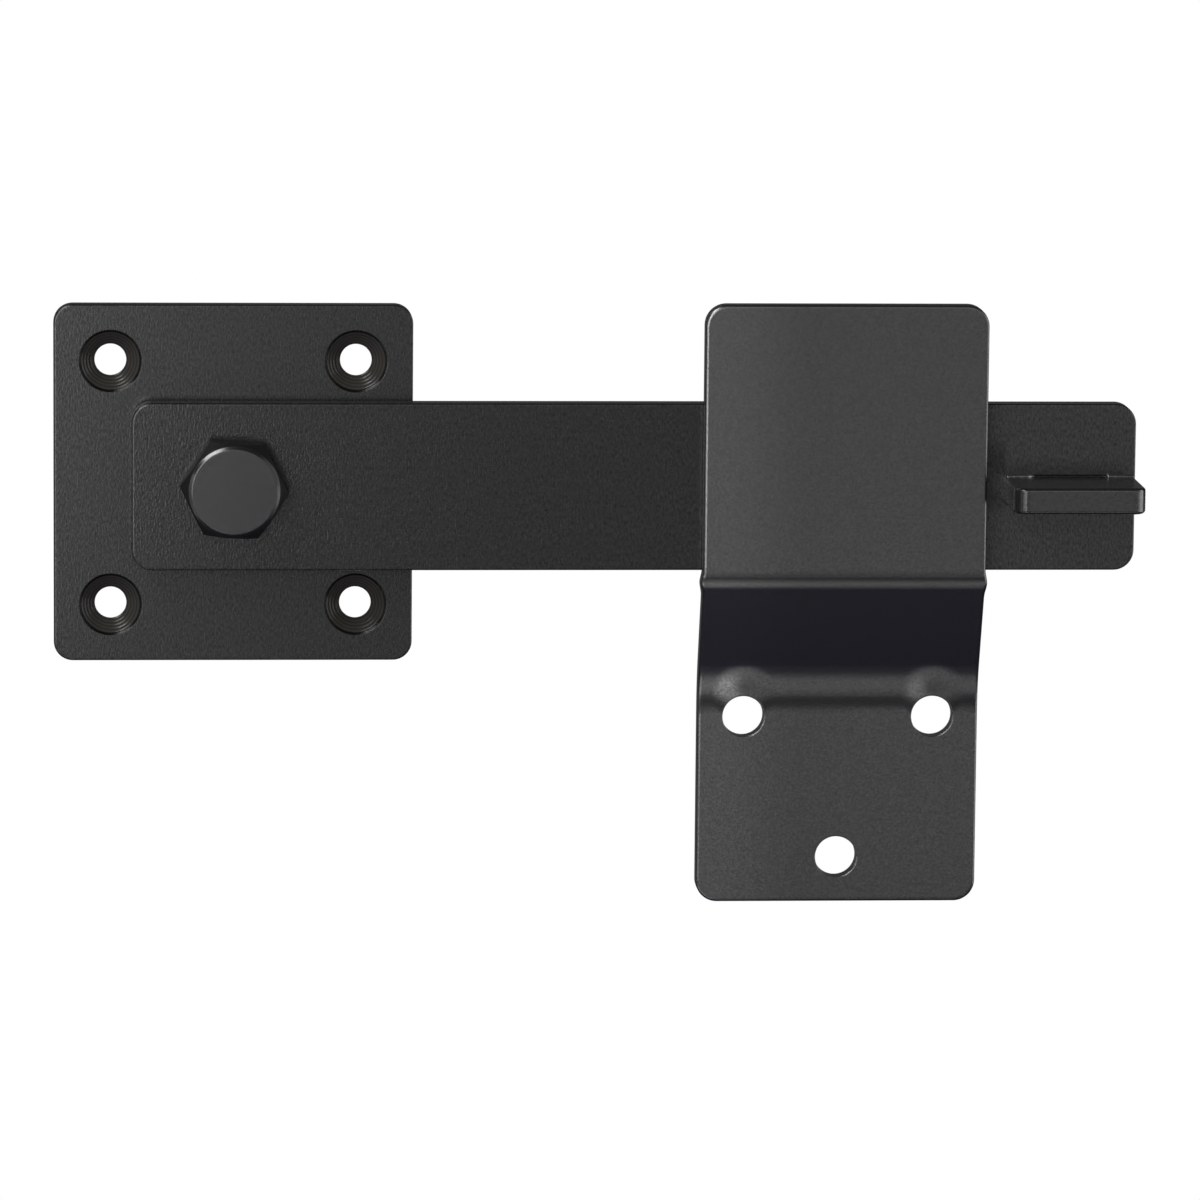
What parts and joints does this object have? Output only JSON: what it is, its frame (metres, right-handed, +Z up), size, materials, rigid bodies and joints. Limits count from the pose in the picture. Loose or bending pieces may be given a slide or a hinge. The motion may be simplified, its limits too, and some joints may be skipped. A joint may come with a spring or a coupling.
{
  "type": "flip gate latch",
  "caption": "Flip gate latch: a flat bar turns on a hexagon-headed bolt in a square screw plate and drops behind a joggled keeper; a thumb tab on its end lifts it.",
  "frame": {"origin": "on the pivot bolt's axis, in the plane that the base plate and the keeper are screwed to; it is also the centre of the plate's four screw holes", "axes": "+X along the closed bar from the pivot towards the thumb tab, +Z up, +Y into the gate, so that the front faces -Y"},
  "size_m": [0.1812, 0.0229, 0.1025],
  "materials": {
    "plate_finish": "satin black coat over drawn steel",
    "washer_finish": "satin black coat on a turned ring",
    "bolt_finish": "black oxide, oiled",
    "bar_finish": "satin black coat over drawn steel",
    "tab_finish": "satin black coat",
    "keeper_finish": "fine satin black coat over pressed steel"
  },
  "bodies": {
    "fixings": {"base_plate": "plate_finish", "pivot_washer": "washer_finish", "pivot_bolt": "bolt_finish", "keeper": "keeper_finish"},
    "bar": {"latch_bar": "bar_finish", "thumb_tab": "tab_finish"}
  },
  "joints": [
    {"name": "bar_swing", "type": "hinge", "parent": "fixings", "child": "bar", "pos_m": [0, 0, 0], "axis": [0, -1, 0], "range_deg": [-0.9, 327.7]}
  ]
}
